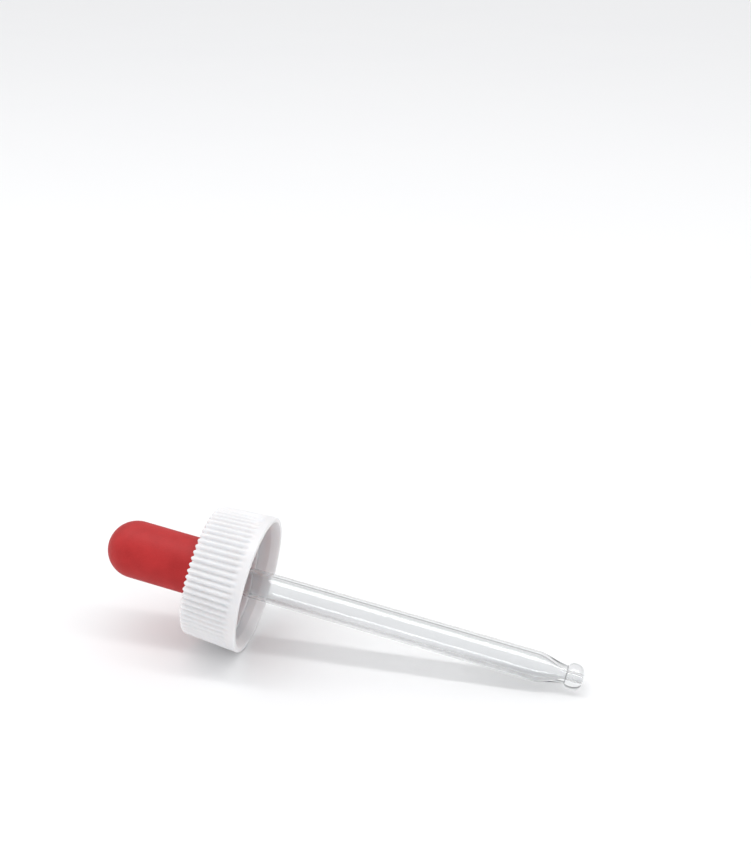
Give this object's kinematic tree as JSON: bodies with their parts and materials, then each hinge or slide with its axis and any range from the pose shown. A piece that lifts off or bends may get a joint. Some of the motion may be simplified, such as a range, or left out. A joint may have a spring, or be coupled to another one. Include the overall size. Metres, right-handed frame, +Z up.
{
  "type": "medicine dropper",
  "caption": "Dropper closure: ribbed screw cap with a rubber squeeze bulb above it and a glass pipette with a beaded tip below, lying on its side.",
  "frame": {"origin": "on the table, under the middle of the box round the dropper as it lies on its cap's rim and its bead", "axes": "+Z up from the table, +X along the table from the bulb towards the tip; the dropper's own axis dips 9.9 degrees below +X"},
  "size_m": [0.0888, 0.0256, 0.0263],
  "materials": {
    "cap_plastic": "satin moulded white",
    "bulb_rubber": "matt red",
    "pipette_glass": "clear, fire polished"
  },
  "bodies": {
    "cap": {"screw_cap": "cap_plastic"},
    "bulb": {"rubber_bulb": "bulb_rubber"},
    "bulb_wall_left": {"bulb_pad_left": "bulb_rubber"},
    "bulb_wall_right": {"bulb_pad_right": "bulb_rubber"},
    "pipette": {"glass_pipette": "pipette_glass"}
  },
  "joints": [
    {"name": "cap_swivel", "type": "hinge", "parent": "cap", "child": "bulb", "pos_m": [-0.02612, 0, 0.01442], "axis": [0.9851, 0, -0.172], "continuous": true},
    {"name": "bulb_squeeze_left", "type": "slide", "parent": "bulb", "child": "bulb_wall_left", "axis": [0, -1, 0], "range_m": [0, 0.0024], "stiffness_N_per_m": 800},
    {"name": "bulb_squeeze_right", "type": "slide", "parent": "bulb", "child": "bulb_wall_right", "axis": [0, 1, 0], "range_m": [0, 0.0024], "stiffness_N_per_m": 800},
    {"name": "pipette_pull", "type": "slide", "parent": "bulb", "child": "pipette", "axis": [0.9851, 0, -0.172], "range_m": [0, 0.02]}
  ],
  "couplings": [
    {"joint": "bulb_squeeze_right", "follows": "bulb_squeeze_left", "ratio": 1}
  ]
}
